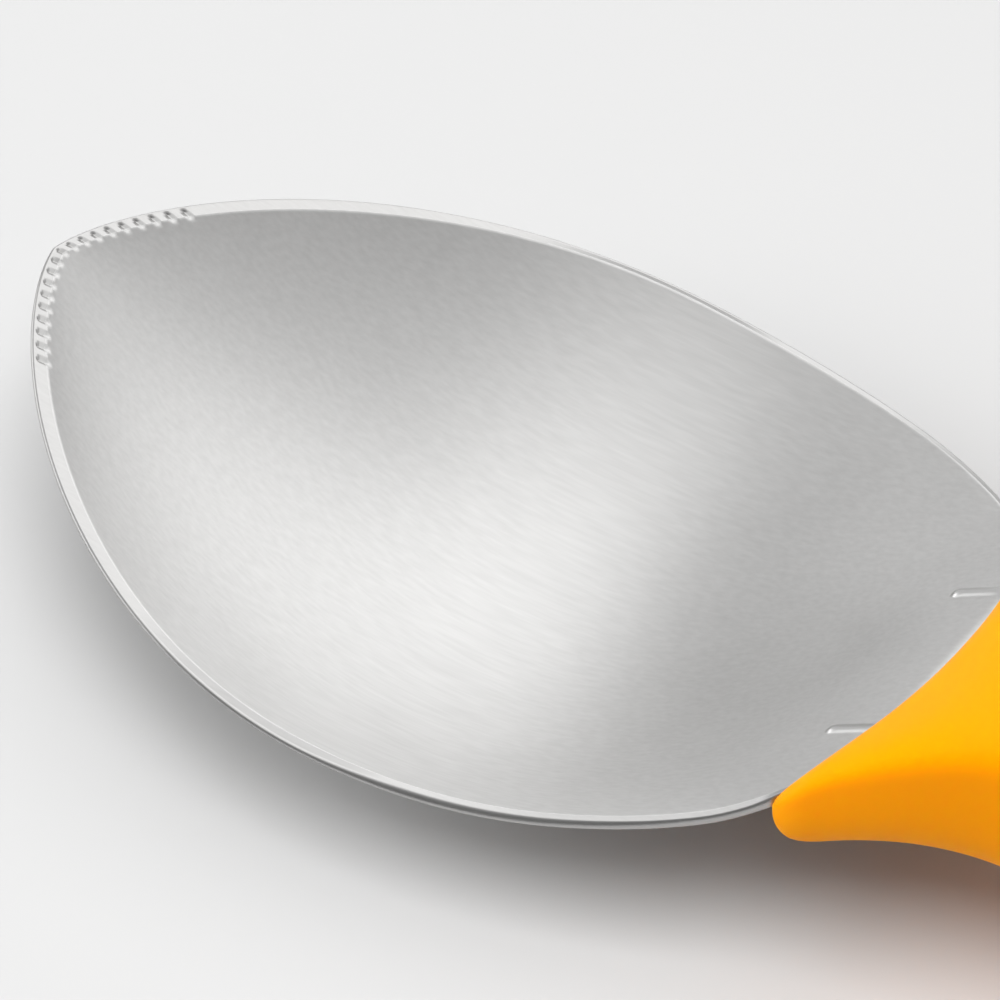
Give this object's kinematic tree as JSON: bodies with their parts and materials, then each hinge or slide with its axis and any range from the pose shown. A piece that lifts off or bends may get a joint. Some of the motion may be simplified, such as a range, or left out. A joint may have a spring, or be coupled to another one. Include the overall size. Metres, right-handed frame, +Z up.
{
  "type": "fruit spoon",
  "caption": "Scooping spoon with a pointed, serrated sheet-steel bowl moulded into a thick plastic handle with a hanging hole, for halving and hollowing out soft fruit.",
  "frame": {"origin": "on the table plane under the centre of the bounding box", "axes": "+X from the bowl's nose to the handle's end, +Z up, with the spoon lying on its belly and heel"},
  "size_m": [0.2, 0.06, 0.0279],
  "materials": {
    "brushed_steel": "brushed along the spoon",
    "yellow_plastic": "satin"
  },
  "bodies": {
    "root": {"steel_bowl": "brushed_steel", "handle": "yellow_plastic"}
  },
  "joints": []
}
